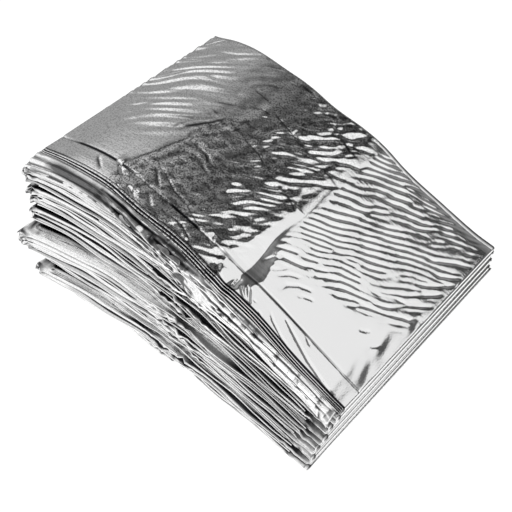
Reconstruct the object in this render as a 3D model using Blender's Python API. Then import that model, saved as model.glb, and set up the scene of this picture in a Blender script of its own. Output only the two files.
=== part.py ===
"""Emergency foil blanket, folded: one strip of film laid back and forth in thirteen panels.

The film is gathered lengthwise into a strip many films thick, and the strip runs back and forth
along X. Its folds are pressed tight at one end (+X) and stand open in a fan at the other (-X).
Lengths are in metres, +Z is up, and the blanket lies on its lowest panel with the middle of its
footprint at the origin.
"""

import math

import bmesh
import bpy
import numpy as np

MM = 0.001

PANEL_LENGTH = 150 * MM  # along X, from the open end (x = 0 here) to the pressed end
PACK_WIDTH = 121 * MM  # along Y, from the lowest panel's front edge (y = 0 here) to the back
PRESSED_THICKNESS = 0.85 * MM  # of the strip at the pressed end
PRESSED_PITCH = 1.05 * MM  # from one panel to the next at the pressed end
PRESSED_LEAN = 21 * MM  # of the top panel's front edge behind the lowest one's, pressed end
OPEN_LEAN = 17.8 * MM  # the same at the open end, before each panel's own stagger
EDGE_BOW = 3.7 * MM  # how far each front edge bows in at mid-length
EDGE_WANDER = 0.5 * MM  # how far the panels' edges stray to each side of their line
WANDER_LENGTH = 38 * MM  # of one such stray

# The panels from the lowest up, in mm. The middle's height, the thickness, the front edge's place,
# the reach past the open end and the back edge's stagger are those at the open end. Panels that
# a loop or a bend joins share its reach. The belly and the sag are how much thicker and lower a
# panel is at mid-length.
PANEL_COLUMNS = (
    "middle", "thickness", "front_edge", "reach", "pressed_reach", "back_edge", "belly", "sag",
)
PANELS = (
    (1.1, 2.2, 0.5, 1.5, 0.3, 0.0, 0.0, 0.0),
    (6.1, 2.2, -1.8, 1.5, 0.0, -1.0, 0.0, 0.3),
    (10.8, 2.4, 3.5, -3.0, 0.0, -2.2, 0.2, 0.3),
    (15.8, 2.6, 3.0, -3.0, -0.5, -0.6, 0.2, 0.3),
    (21.2, 2.8, -2.6, 2.6, -0.5, -1.4, 0.0, 0.4),
    (27.6, 2.6, -3.2, 2.6, 0.2, 0.2, 0.0, 0.5),
    (32.6, 2.0, 5.0, 0.2, 0.2, -1.6, 0.2, 0.6),
    (36.4, 2.0, 5.4, 0.2, -0.3, -0.4, 0.2, 0.8),
    (40.8, 2.2, 6.6, 1.2, -0.3, -1.8, 0.0, 1.0),
    (45.6, 2.2, 7.2, 1.2, 0.3, 0.0, 0.2, 1.2),
    (50.8, 2.0, 8.0, 2.0, 0.3, -1.0, 0.3, 1.4),
    (54.3, 1.8, 8.4, 2.0, 0.1, -0.4, 0.3, 1.6),
    (56.1, 1.0, 17.8, 1.4, 0.1, 0.0, 1.3, 0.5),
)
LEVELS = len(PANELS)
TOP_LEVEL = LEVELS - 1

# Height of the top of the pack along its length, in mm: it crowns just in from the open end,
# breaks over a crease that crosses the pack, and falls to the pressed end. The front and back
# heights are those at the top panel's two long edges.
TOP_COLUMNS = ("from_open_end", "front_height", "back_height")
TOP = (
    (0.0, 56.6, 56.8),
    (12.0, 57.4, 58.8),
    (26.0, 56.6, 59.0),
    (46.0, 52.9, 54.5),
    (66.0, 46.8, 48.3),
    (84.0, 39.9, 42.4),
    (92.5, 35.9, 38.9),
    (99.0, 32.7, 35.4),
    (107.0, 29.4, 30.9),
    (121.0, 23.7, 24.0),
    (131.0, 19.8, 19.8),
    (141.0, 15.6, 15.6),
    (150.0, 13.45, 13.45),
)

# Creases on the top, in mm: each a soft ridge (or trough, below 0) along a line.
CREASE_COLUMNS = ("x_start", "y_start", "x_end", "y_end", "half_width", "rise")
CREASES = (
    (93.0, 20.0, 93.0, 122.0, 4.5, 0.8),
    (0.0, 33.0, 150.0, 32.0, 3.0, -0.5),
    (32.0, 34.0, 43.0, 82.0, 5.0, 0.8),
    (50.0, 84.0, 66.0, 120.0, 5.0, 0.6),
    (104.0, 45.0, 146.0, 60.0, 7.0, -0.5),
)

# Stations along a panel, as shares of its length, and across the strip, as shares of its width.
ALONG = (0.06, 0.12, 0.19, 0.27, 0.36, 0.45, 0.53, 0.58, 0.62, 0.66, 0.73, 0.81, 0.88, 0.94)
ACROSS = np.array((0.0, 0.07, 0.15, 0.3, 0.5, 0.72, 0.9, 1.0))
CLOSEST_STATIONS = 2 * MM
OPEN_LOOP_STEPS = 7
PRESSED_BEND_STEPS = 4
LOOP_DEPTH = 0.5  # of an open loop, as a share of the height between its two panels
EDGE_ROUND = 0.45  # how far a folded edge stands out, as a share of the thickness
GOLDEN_SHARE = 0.618  # of a stray, from one panel to the next
SWELL_FADE = 1.3  # powers of the openness that the extra thickness and the stagger follow
STAGGER_FADE = 1.5
BACK_STAGGER_LEFT = 0.4  # share of the back edges' stagger that is left at the pressed end

FILM_COLOUR = (0.74, 0.75, 0.76, 1.0)
FILM_ROUGHNESS = 0.18


def column(rows, names, name):
    """One named column of a table of millimetres, in metres."""
    return np.array([row[names.index(name)] for row in rows]) * MM


MIDDLE, THICKNESS, FRONT, REACH, PRESSED_REACH, BACK, BELLY, SAG = (
    column(PANELS, PANEL_COLUMNS, name) for name in PANEL_COLUMNS
)
PRESSED_MIDDLE = PRESSED_THICKNESS / 2 + PRESSED_PITCH * np.arange(LEVELS)


def smooth(xs, ys, x):
    """A smooth curve through the points of a table."""
    slopes = np.gradient(ys, xs)
    i = min(max(int(np.searchsorted(xs, x, side="right")) - 1, 0), len(xs) - 2)
    step = xs[i + 1] - xs[i]
    u = min(max((x - xs[i]) / step, 0.0), 1.0)
    rise = u * u * (3 - 2 * u)
    ends = u * (1 - u) ** 2 * slopes[i] - u * u * (1 - u) * slopes[i + 1]
    return ys[i] * (1 - rise) + ys[i + 1] * rise + step * ends


def openness(x):
    """1 at the open end, 0 at the pressed end."""
    return min(max(1 - x / PANEL_LENGTH, 0.0), 1.0)


def mid_length(x):
    """0 at both ends, 1 half way along."""
    return math.sin(math.pi * openness(x))


def thickness(level, x):
    extra = (THICKNESS[level] - PRESSED_THICKNESS) * openness(x) ** SWELL_FADE
    return PRESSED_THICKNESS + extra + BELLY[level] * mid_length(x)


def wander(level, x, start):
    """How far a panel's edge strays from its line, out of step with its neighbours."""
    turns = x / WANDER_LENGTH + GOLDEN_SHARE * level + start
    return EDGE_WANDER * math.sin(2 * math.pi * turns) * mid_length(x)


def front_edge(level, x):
    share = level / TOP_LEVEL
    lean = share * (PRESSED_LEAN + (OPEN_LEAN - PRESSED_LEAN) * openness(x))
    stagger = (FRONT[level] - share * OPEN_LEAN) * openness(x) ** STAGGER_FADE
    return lean + stagger + EDGE_BOW * mid_length(x) + wander(level, x, 0.0)


def back_edge(level, x):
    stagger = BACK[level] * (BACK_STAGGER_LEFT + (1 - BACK_STAGGER_LEFT) * openness(x))
    return PACK_WIDTH + stagger + wander(level, x, 0.5)


def crease_height(x, y):
    """What the creases add to the top at one station, for the places y across it."""
    sizes = [column(CREASES, CREASE_COLUMNS, name) for name in CREASE_COLUMNS]
    total = np.zeros(len(y))
    for x_start, y_start, x_end, y_end, half_width, rise in zip(*sizes):
        run_x, run_y = x_end - x_start, y_end - y_start
        share = ((x - x_start) * run_x + (y - y_start) * run_y) / (run_x**2 + run_y**2)
        share = np.clip(share, 0.0, 1.0)
        away = np.hypot(x - x_start - share * run_x, y - y_start - share * run_y)
        total += rise * np.exp(-((away / half_width) ** 2))
    return total


def lift(x, y):
    """How far the top panel's middle stands above its height at the pressed end."""
    at, front, back = (column(TOP, TOP_COLUMNS, name) for name in TOP_COLUMNS)
    top = smooth(at, front, x) + (smooth(at, back, x) - smooth(at, front, x)) * ACROSS
    top = top + crease_height(x, y) * mid_length(x)
    return top - thickness(TOP_LEVEL, x) / 2 - PRESSED_MIDDLE[TOP_LEVEL]


def station(level, x):
    """The strip's middle at one place along a panel: rows of x, y, z across it."""
    y = front_edge(level, x) + (back_edge(level, x) - front_edge(level, x)) * ACROSS
    if level == 0:
        z = np.full(len(y), thickness(0, x) / 2)
    else:
        share = (MIDDLE[level] - PRESSED_MIDDLE[level]) / (MIDDLE[-1] - PRESSED_MIDDLE[-1])
        z = PRESSED_MIDDLE[level] + share * lift(x, y) - SAG[level] * mid_length(x)
    return np.stack((np.full(len(y), x), y, z), axis=1)


def loop_depth(level):
    """How far the open loop between this panel and the next reaches past their ends."""
    return LOOP_DEPTH * (MIDDLE[level + 1] - MIDDLE[level])


def open_x(level):
    """Where a panel ends at the open end and its loop begins."""
    if level == TOP_LEVEL:
        return -REACH[level]
    lower = level - level % 2
    return loop_depth(lower) + THICKNESS[level] / 2 - REACH[level]


def pressed_x(level):
    """Where a panel ends at the pressed end and its bend begins."""
    bend = (PRESSED_PITCH + PRESSED_THICKNESS) / 2 if level else 0.0
    return PANEL_LENGTH + PRESSED_REACH[level] - bend


def places(level):
    """Where a panel's stations stand, in the order in which the strip meets them."""
    first, last = open_x(level), pressed_x(level)
    inner = [share * PANEL_LENGTH for share in ALONG]
    stops = [first] + [x for x in inner if x > first + CLOSEST_STATIONS] + [last]
    return stops[::-1] if level % 2 == 0 else stops


def turn(level, x, depth, steps):
    """The turn from one panel to the next, without the two stations that it joins."""
    lower, upper = station(level, x), station(level + 1, x)
    stations, sizes = [], []
    for i in range(1, steps):
        angle = math.pi * i / steps
        share = (1 - math.cos(angle)) / 2
        middle = lower * (1 - share) + upper * share
        middle[:, 0] += depth * math.sin(angle)
        stations.append(middle)
        sizes.append(thickness(level, x) * (1 - share) + thickness(level + 1, x) * share)
    return stations, sizes


def strip():
    """The whole strip's middle and thickness, from its lower end to its upper one."""
    stations, sizes = [], []
    for level in range(LEVELS):
        for x in places(level):
            stations.append(station(level, x))
            sizes.append(thickness(level, x))
        if level == TOP_LEVEL:
            break
        if level % 2 == 0:
            joint = turn(level, open_x(level), -loop_depth(level), OPEN_LOOP_STEPS)
        else:
            joint = turn(level, pressed_x(level), PRESSED_PITCH / 2, PRESSED_BEND_STEPS)
        stations += joint[0]
        sizes += joint[1]
    return np.array(stations), np.array(sizes)


def rings(middles, sizes):
    """A closed ring of points round the strip at each station."""
    along = np.gradient(middles[:, :, (0, 2)], axis=0)
    along /= np.linalg.norm(along, axis=2, keepdims=True)
    half = sizes[:, None] / 2
    left, right = middles.copy(), middles.copy()
    for side, sign in ((left, 1), (right, -1)):
        side[:, :, 0] -= sign * along[:, :, 1] * half
        side[:, :, 2] += sign * along[:, :, 0] * half
    front, back = middles[:, :1].copy(), middles[:, -1:].copy()
    front[:, :, 1] -= EDGE_ROUND * sizes[:, None]
    back[:, :, 1] += EDGE_ROUND * sizes[:, None]
    return np.concatenate((front, left, back, right[:, ::-1]), axis=1)


def lay_flat(points):
    """Sets the lowest panel's underside exactly on the surface."""
    points[: len(places(0)), 1 : 1 + len(ACROSS), 2] = 0.0
    points[:, :, 2] = np.maximum(points[:, :, 2], 0.0)


def centre(points):
    """Moves the middle of the footprint to the origin."""
    for axis in (0, 1):
        points[:, :, axis] -= (points[:, :, axis].min() + points[:, :, axis].max()) / 2


def film_material():
    material = bpy.data.materials.new("metallised_film")
    material.use_nodes = True
    shader = material.node_tree.nodes["Principled BSDF"]
    shader.inputs["Base Color"].default_value = FILM_COLOUR
    shader.inputs["Metallic"].default_value = 1.0
    shader.inputs["Roughness"].default_value = FILM_ROUGHNESS
    return material


def skin(points):
    """A closed mesh over the rings, with both ends of the strip capped."""
    count, around = points.shape[:2]
    mesh = bmesh.new()
    grid = [[mesh.verts.new(point) for point in ring] for ring in points]
    for i in range(count - 1):
        for j in range(around):
            nxt = (j + 1) % around
            mesh.faces.new((grid[i][j], grid[i + 1][j], grid[i + 1][nxt], grid[i][nxt]))
    for ring in (grid[0], grid[-1]):
        for j in range(around // 2):
            across = (j, j + 1, around - j - 1, (around - j) % around)
            mesh.faces.new([ring[k] for k in dict.fromkeys(across)])
    return mesh


def build():
    for obj in list(bpy.data.objects):
        bpy.data.objects.remove(obj, do_unlink=True)
    middles, sizes = strip()
    points = rings(middles, sizes)
    lay_flat(points)
    centre(points)
    mesh = skin(points)
    bmesh.ops.recalc_face_normals(mesh, faces=mesh.faces)
    data = bpy.data.meshes.new("foil_blanket")
    mesh.to_mesh(data)
    mesh.free()
    data.materials.append(film_material())
    data.shade_smooth()
    data.set_sharp_from_angle(angle=math.radians(40))
    blanket = bpy.data.objects.new("foil_blanket", data)
    bpy.context.scene.collection.objects.link(blanket)


build()
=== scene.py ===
"""The looks of a folded emergency foil blanket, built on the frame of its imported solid.

One strip of metallised film lies back and forth in thirteen panels. The panels stand open in a
fan at -X and are pressed together at +X. Lengths are in metres; sizes in tables are in mm, and
measured in the pack's own frame: x from the open end, y from the lowest panel's front line.
"""

import collections
import math

import bmesh
import bpy
import numpy as np
from mathutils import Matrix, Vector


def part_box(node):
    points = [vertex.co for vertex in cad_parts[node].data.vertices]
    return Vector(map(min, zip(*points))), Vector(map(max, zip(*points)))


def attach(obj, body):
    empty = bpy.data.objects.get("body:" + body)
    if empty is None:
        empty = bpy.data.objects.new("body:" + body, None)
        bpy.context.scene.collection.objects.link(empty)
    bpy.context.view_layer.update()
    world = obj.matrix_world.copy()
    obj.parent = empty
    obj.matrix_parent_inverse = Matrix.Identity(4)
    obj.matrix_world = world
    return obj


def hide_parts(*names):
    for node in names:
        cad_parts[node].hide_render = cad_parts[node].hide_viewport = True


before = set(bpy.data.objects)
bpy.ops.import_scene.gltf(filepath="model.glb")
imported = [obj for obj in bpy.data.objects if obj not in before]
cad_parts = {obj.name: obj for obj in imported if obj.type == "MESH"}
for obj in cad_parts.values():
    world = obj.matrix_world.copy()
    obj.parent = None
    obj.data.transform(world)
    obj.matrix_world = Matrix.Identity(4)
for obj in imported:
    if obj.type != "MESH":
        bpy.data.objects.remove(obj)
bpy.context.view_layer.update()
SOLID = "foil_blanket"
SOLID_LOW, SOLID_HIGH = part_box(SOLID)

MM = 0.001
SEEDS = {"strip": 11, "shade": 12, "top": 5, "wrap": 71, "folds": 83}

# ---- the pack's driving sizes ------------------------------------------------------------

PANEL_LENGTH = 150 * MM
PACK_WIDTH = 121 * MM
PRESSED_THICKNESS = 0.85 * MM
PRESSED_PITCH = 1.05 * MM
PRESSED_LEAN = 21 * MM
OPEN_LEAN = 17.8 * MM
EDGE_BOW = 3.7 * MM
EDGE_WANDER = 0.5 * MM
WANDER_LENGTH = 38 * MM
FURTHEST_X = 150.3 * MM  # of the solid, in the pack's frame
FOREMOST_Y = -3.98 * MM
PACK_TO_ROW = np.array((SOLID_HIGH.x - FURTHEST_X, SOLID_LOW.y - FOREMOST_Y, 0.0))

# Each panel from the lowest up: at the open end its middle's height, its thickness and its front
# edge; how far it reaches out at the open and the pressed end; its back edge; and half way along,
# how far it swells and sags.
PANEL_COLUMNS = (
    "middle", "thickness", "front_edge", "reach", "pressed_reach", "back_edge", "belly", "sag",
)
PANELS = (
    (1.1, 2.2, 0.5, 1.5, 0.3, 0.0, 0.0, 0.0),
    (6.1, 2.2, -1.8, 1.5, 0.0, -1.0, 0.0, 0.3),
    (10.8, 2.4, 3.5, -3.0, 0.0, -2.2, 0.2, 0.3),
    (15.8, 2.6, 3.0, -3.0, -0.5, -0.6, 0.2, 0.3),
    (21.2, 2.8, -2.6, 2.6, -0.5, -1.4, 0.0, 0.4),
    (27.6, 2.6, -3.2, 2.6, 0.2, 0.2, 0.0, 0.5),
    (32.6, 2.0, 5.0, 0.2, 0.2, -1.6, 0.2, 0.6),
    (36.4, 2.0, 5.4, 0.2, -0.3, -0.4, 0.2, 0.8),
    (40.8, 2.2, 6.6, 1.2, -0.3, -1.8, 0.0, 1.0),
    (45.6, 2.2, 7.2, 1.2, 0.3, 0.0, 0.2, 1.2),
    (50.8, 2.0, 8.0, 2.0, 0.3, -1.0, 0.3, 1.4),
    (54.3, 1.8, 8.4, 2.0, 0.1, -0.4, 0.3, 1.6),
    (56.1, 1.0, 17.8, 1.4, 0.1, 0.0, 1.3, 0.5),
)
LEVELS = len(PANELS)
TOP_LEVEL = LEVELS - 1

# The heights of the top panel's front and back edge, along the pack.
TOP_COLUMNS = ("from_open_end", "front_height", "back_height")
TOP = (
    (0.0, 56.6, 56.8),
    (12.0, 57.4, 58.8),
    (26.0, 56.6, 59.0),
    (46.0, 52.9, 54.5),
    (66.0, 46.8, 48.3),
    (84.0, 39.9, 42.4),
    (92.5, 35.9, 38.9),
    (99.0, 32.7, 35.4),
    (107.0, 29.4, 30.9),
    (121.0, 23.7, 24.0),
    (131.0, 19.8, 19.8),
    (141.0, 15.9, 15.9),
    (150.0, 13.45, 13.45),
)
GOLDEN_SHARE = 0.618
SWELL_FADE = 1.3
STAGGER_FADE = 1.5
BACK_STAGGER_LEFT = 0.4


def column(rows, names, name):
    """One named column of a table of millimetres, in metres."""
    return np.array([row[names.index(name)] for row in rows]) * MM


MIDDLE, THICKNESS, FRONT, REACH, PRESSED_REACH, BACK, BELLY, SAG = (
    column(PANELS, PANEL_COLUMNS, name) for name in PANEL_COLUMNS
)
PRESSED_MIDDLE = PRESSED_THICKNESS / 2 + PRESSED_PITCH * np.arange(LEVELS)
TOP_AT, TOP_FRONT, TOP_BACK = (column(TOP, TOP_COLUMNS, name) for name in TOP_COLUMNS)


# ---- smooth and rough functions ----------------------------------------------------------


def smooth(xs, ys, x):
    """A smooth curve through the points of a table, at the places x."""
    slopes = np.gradient(ys, xs)
    i = np.clip(np.searchsorted(xs, x, side="right") - 1, 0, len(xs) - 2)
    step = xs[i + 1] - xs[i]
    u = np.clip((x - xs[i]) / step, 0.0, 1.0)
    rise = u * u * (3 - 2 * u)
    ends = u * (1 - u) ** 2 * slopes[i] - u * u * (1 - u) * slopes[i + 1]
    return ys[i] * (1 - rise) + ys[i + 1] * rise + step * ends


def ease(low, high, x):
    """0 below low, 1 above high, and a smooth step between. high may be under low."""
    u = np.clip((x - low) / (high - low), 0.0, 1.0)
    return u * u * (3 - 2 * u)


def listed(table, x):
    """The value at x from a table of pairs: a place in mm, and a value."""
    at, values = np.array(table, float).T
    return np.interp(x, at * MM, values)


def length_along(line):
    """How far along a line each of its points lies."""
    steps = np.linalg.norm(np.diff(line, axis=0), axis=1)
    return np.concatenate(((0.0,), np.cumsum(steps)))


def bell(x, centre, spread, power=2):
    """1 at the centre, and falling off over the spread to both sides. Both are in mm."""
    return np.exp(-(((x - centre * MM) / (spread * MM)) ** power))


# Fields of soft waves: the seed, the crests' heading and its spread in degrees, their spacing in
# mm and its spread, and how many waves are added up.
WAVES = {
    "film pushed along": (21, 20.0, 60.0, 34, 0.2, 6),
    "film pushed across": (22, 80.0, 60.0, 34, 0.2, 6),
    "bend of the cross crease": (31, 0.0, 10.0, 30, 0.2, 4),
    "ripples of the pressed half": (3, 31.0, 5.0, 3.1, 0.13, 10),
    "strength of the ripples": (64, 40.0, 60.0, 13, 0.2, 8),
    "tight ripples": (63, 28.0, 4.0, 1.8, 0.08, 6),
    "ripples of the pressed end": (17, 108.0, 9.0, 7, 0.2, 7),
    "ripples of the open end": (9, 38.0, 6.0, 5.4, 0.2, 8),
    "streaks of the dull film": (5, 46.0, 8.0, 2.7, 0.2, 10),
    "strength of the streaks": (51, 30.0, 50.0, 17, 0.3, 8),
    "small folds of the dull film": (72, 44.0, 32.0, 4.6, 0.3, 12),
    "breaks in the dark folds": (77, 30.0, 60.0, 5, 0.3, 9),
}

# Fields of sharp creases: the seed, their spacing in mm, and how many are added up.
CREASES = {
    "crumpled front": (41, 4, 12),
    "crumpled wrap": (47, 4, 12),
    "dark folds of the front": (43, 2.6, 9),
    "worn open loops": (45, 3, 9),
    "tips": (46, 2.2, 9),
    "broad crumples of the top": (14, 9, 12),
    "small crumples of the top": (15, 4, 10),
    "dents of the pressed half": (16, 13, 9),
    "dents of the wrap": (61, 7, 7),
    "dark folds of the wrap": (62, 3.6, 9),
}


def waves(name, x, y):
    """A field of soft waves, about 1 high."""
    seed, heading, spread, spacing, jitter, count = WAVES[name]
    rng = np.random.default_rng(seed)
    total = np.zeros(np.broadcast(x, y).shape)
    for _ in range(count):
        across = math.radians(heading + 90 + rng.normal(0.0, spread))
        pitch = spacing * MM * math.exp(rng.normal(0.0, jitter))
        phase = rng.uniform(0.0, 2 * math.pi)
        along = (x * math.cos(across) + y * math.sin(across)) / pitch
        total += np.cos(2 * math.pi * along + phase)
    return total / math.sqrt(count / 2)


def creases(name, x, y):
    """A field of sharp creases in random directions, about 1 high, as in crumpled film."""
    seed, spacing, count = CREASES[name]
    rng = np.random.default_rng(seed)
    total = np.zeros(np.broadcast(x, y).shape)
    for _ in range(count):
        across = rng.uniform(0.0, math.pi)
        pitch = spacing * MM * rng.uniform(0.7, 1.8)
        turns = (x * math.cos(across) + y * math.sin(across)) / pitch + rng.uniform(0.0, 1.0)
        total += 4 * np.abs(turns % 1.0 - 0.5) - 1
    return total / math.sqrt(count)


def noise_line(rng, at, spacing, low, high):
    """A smooth random line, through a random value at each spacing."""
    start = at.min()
    count = int((at.max() - start) / spacing) + 3
    values = rng.uniform(low, high, count)
    return smooth(start + np.arange(count) * spacing, values, at)


# ---- where the panels lie ----------------------------------------------------------------


def openness(x):
    """1 at the open end, 0 at the pressed end."""
    return np.clip(1 - x / PANEL_LENGTH, 0.0, 1.0)


def mid_length(x):
    """1 half way along the pack, 0 at its ends."""
    return np.sin(math.pi * openness(x))


def thickness(level, x):
    """A panel's thickness, which swells towards the open end."""
    extra = (THICKNESS[level] - PRESSED_THICKNESS) * openness(x) ** SWELL_FADE
    return PRESSED_THICKNESS + extra + BELLY[level] * mid_length(x)


def wander(level, x, start):
    """How far a panel's edge wanders from side to side."""
    turns = x / WANDER_LENGTH + GOLDEN_SHARE * level + start
    return EDGE_WANDER * np.sin(2 * math.pi * turns) * mid_length(x)


def front_edge(level, x):
    """The y of a panel's front edge."""
    share = level / TOP_LEVEL
    lean = share * (PRESSED_LEAN + (OPEN_LEAN - PRESSED_LEAN) * openness(x))
    stagger = (FRONT[level] - share * OPEN_LEAN) * openness(x) ** STAGGER_FADE
    return lean + stagger + EDGE_BOW * mid_length(x) + wander(level, x, 0.0)


def back_edge(level, x):
    """The y of a panel's back edge."""
    stagger = BACK[level] * (BACK_STAGGER_LEFT + (1 - BACK_STAGGER_LEFT) * openness(x))
    return PACK_WIDTH + stagger + wander(level, x, 0.5)


def top_surface(x, across):
    """Height of the top of the pack, without its wrinkles."""
    front, back = smooth(TOP_AT, TOP_FRONT, x), smooth(TOP_AT, TOP_BACK, x)
    return front + (back - front) * across


def middle(level, x, across):
    """Height of a panel's middle."""
    if level == 0:
        return thickness(0, x) / 2 + 0 * across
    lift = top_surface(x, across) - thickness(TOP_LEVEL, x) / 2 - PRESSED_MIDDLE[-1]
    share = (MIDDLE[level] - PRESSED_MIDDLE[level]) / (MIDDLE[-1] - PRESSED_MIDDLE[-1])
    return PRESSED_MIDDLE[level] + share * lift - SAG[level] * mid_length(x)


def pressed_x(level):
    """Where a panel's straight part ends at the pressed end."""
    bend = (PRESSED_PITCH + PRESSED_THICKNESS) / 2 if level else 0.0
    return PANEL_LENGTH + PRESSED_REACH[level] - bend


# ---- the folded strip --------------------------------------------------------------------

TIGHT_GAP = 0.16 * MM  # between panels that lie on each other
OPEN_GAP = 1.5 * MM  # between the bundles at the open end
OPEN_GAP_FADE = 24 * MM
OPEN_LOOP_STEPS = 11
PRESSED_BEND_STEPS = 6
BEND_RUN = 0.6 * MM  # the least that the film runs on from one section to the next
LIP_STEPS = 8
LIP_FILL = 0.97  # how much of its height a lip takes up
LIP_WIDTHS = (45 * MM, 0.55, 1.5)  # the spacing of the changes, the narrowest and the widest
LIP_REACH_SPACING = 17 * MM
LIP_TREMBLE_SPACING = 5 * MM
LIP_TREMBLE_SHARE = 0.25


def boundary(level, x, across):
    """Height of the surface half way between a panel and the one below it."""
    if level == 0:
        return 0 * (x + across)
    if level == LEVELS:
        return top_surface(x, across)
    return (middle(level - 1, x, across) + middle(level, x, across)) / 2


def gap(level, x):
    """The gap between a panel and the one below it."""
    if level in (0, LEVELS):
        return 0 * x
    if level % 2:
        return TIGHT_GAP + 0 * x
    return TIGHT_GAP + OPEN_GAP * np.exp(-((np.maximum(x, 0.0) / OPEN_GAP_FADE) ** 2))


def faces_of(level, x, across):
    """A panel's lower and upper heights."""
    lower = boundary(level, x, across) + gap(level, x) / 2
    upper = boundary(level + 1, x, across) - gap(level + 1, x) / 2
    return lower, upper


def open_end(level):
    """Where a panel's straight part ends at the open end, so that its loop reaches its place."""
    if level == TOP_LEVEL:
        return -REACH[level]
    pair = level - level % 2
    at, half_way = np.zeros(1), np.full(1, 0.5)
    lower, upper = faces_of(pair, at, half_way), faces_of(pair + 1, at, half_way)
    return float(upper[1][0] - lower[0][0]) / 2 - REACH[level]


# The sections along the strip. One in a turn lies between two panels, share of the way to the
# upper one, and stands out by reach. turn_x and turn_z are where its +1 side faces.
Sections = collections.namedtuple("Sections", "lower upper share x reach turn_x turn_z")


def sections(levels, count, from_bend=False):
    """The sections of these panels, with the turns that join them."""
    rows = []
    if from_bend:
        rows += bend(levels[0] - 1, pressed_x(levels[0] - 1), PRESSED_BEND_STEPS)
    for level in levels:
        x = np.linspace(open_end(level), pressed_x(level), count)
        x = x if level % 2 else x[::-1]
        side = 1.0 if level % 2 else -1.0
        rows += [(level, level, 0.0, at, 0.0, 0.0, side) for at in x]
        if level != levels[-1]:
            rows += bend(level, x[-1], PRESSED_BEND_STEPS if level % 2 else OPEN_LOOP_STEPS)
    return Sections(*np.array(rows).T)


def bend(level, x, steps):
    """The sections of the turn from a panel to the next one up."""
    side = 1.0 if level % 2 else -1.0
    rows = []
    for i in range(1, steps):
        angle = math.pi * i / steps
        share = (1 - math.cos(angle)) / 2
        across, up = math.sin(angle), math.cos(angle)
        rows.append((level, level + 1, share, x, side * across, -across, side * up))
    return rows


def per_level(function, levels, *places):
    """A function of a panel, evaluated for many stations of different panels."""
    total = None
    for level in np.unique(levels):
        rows = levels == level
        value = function(int(level), *(place[rows] for place in places))
        if total is None:
            total = np.zeros(np.shape(levels)[:1] + value.shape[1:])
        total[rows] = value
    return total


def lips(rng, run, stagger, shade, count, depth, wobble, blunt=0.4, joined=0.0):
    """The folded edges on one side of the strip: heights from +1 to -1, how far each point
    stands out, and its painted shade. stagger holds each lip's reach, one row for each lip.
    shade is how far behind a lip's front the painted shade of its groove starts, and is full.
    joined is how far the grooves between the lips are filled."""
    widths = np.stack([noise_line(rng, run, *LIP_WIDTHS) for _ in range(count)])
    cuts = np.cumsum(widths, axis=0) / widths.sum(axis=0)
    cuts = 1 - 2 * np.concatenate((np.zeros((1, len(run))), cuts))
    heights, reaches, groove_shades = [], [], []
    for k in range(count):
        reach = stagger[k] + noise_line(rng, run, LIP_REACH_SPACING, -wobble, wobble)
        tremble = noise_line(rng, run, LIP_TREMBLE_SPACING, -wobble, wobble)
        reach += tremble * LIP_TREMBLE_SHARE
        centre, half = (cuts[k] + cuts[k + 1]) / 2, (cuts[k] - cuts[k + 1]) / 2
        for step in range(LIP_STEPS + 1):
            angle = math.pi * step / LIP_STEPS
            above, below = step < LIP_STEPS / 2, step > LIP_STEPS / 2
            inner = (k > 0 and above) or (k < count - 1 and below)
            behind = (depth + reach) * (1 - math.sin(angle) ** blunt) * (1 - joined * inner)
            heights.append(centre + LIP_FILL * half * math.cos(angle))
            reaches.append(reach - behind)
            groove_shades.append(ease(shade[0], shade[1], behind))
    return tuple(np.stack(part, axis=1) for part in (heights, reaches, groove_shades))


def turned_over(edge):
    """Lips for the back, which run up where those of the front run down."""
    heights, reaches, groove_shades = edge
    return -heights, reaches, groove_shades


def strip_points(at, plus, minus, front, back):
    """A closed ring of points at each section: the +1 side, the front, the -1 side, the back."""
    count = len(at.x)
    front_height, front_out = front[:2]
    back_height, back_out = back[:2]
    plus_side, minus_side = np.ones((count, len(plus))), np.ones((count, len(minus)))
    height = np.hstack((plus_side, front_height, -minus_side, back_height))
    beyond = np.hstack((0 * plus_side, -front_out, 0 * minus_side, back_out))
    on_front, on_back = np.zeros(front_out.shape[1]), np.ones(back_out.shape[1])
    across = np.hstack((plus, on_front, minus, on_back))
    share, reach, turn_x, turn_z = (
        part[:, None] for part in (at.share, at.reach, at.turn_x, at.turn_z)
    )
    places = np.broadcast_to(at.x[:, None], height.shape)
    shares = np.broadcast_to(across, height.shape)

    def blended(function):
        first = per_level(function, at.lower, places, shares)
        return first * (1 - share) + per_level(function, at.upper, places, shares) * share

    low = blended(lambda level, x, over: faces_of(level, x, over)[0])
    high = blended(lambda level, x, over: faces_of(level, x, over)[1])
    centre, half = (low + high) / 2, (high - low) / 2
    rise = per_level(middle, at.upper, places, shares) - per_level(middle, at.lower, places, shares)
    front_y = blended(lambda level, x, over: front_edge(level, x))
    back_y = blended(lambda level, x, over: back_edge(level, x))
    x = places + reach * rise / 2 + turn_x * height * half
    y = front_y + (back_y - front_y) * across + beyond
    return np.stack((x, y, centre + turn_z * height * half), axis=2)


def run_of(x):
    """How far along the strip each section lies."""
    return np.concatenate(((0.0,), np.cumsum(np.hypot(np.diff(x), BEND_RUN))))


# ---- meshes ------------------------------------------------------------------------------

RUBBED = 0.15  # how far the film is rubbed satin where nothing else is said


def placed(name, data):
    """An object in the scene, for a mesh, a curve, a light or a camera."""
    obj = bpy.data.objects.new(name, data)
    bpy.context.scene.collection.objects.link(obj)
    return obj


def turned_out(mesh):
    """Turns every face of a closed mesh outwards."""
    shape = bmesh.new()
    shape.from_mesh(mesh)
    bmesh.ops.recalc_face_normals(shape, faces=shape.faces)
    shape.to_mesh(mesh)
    shape.free()


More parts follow.
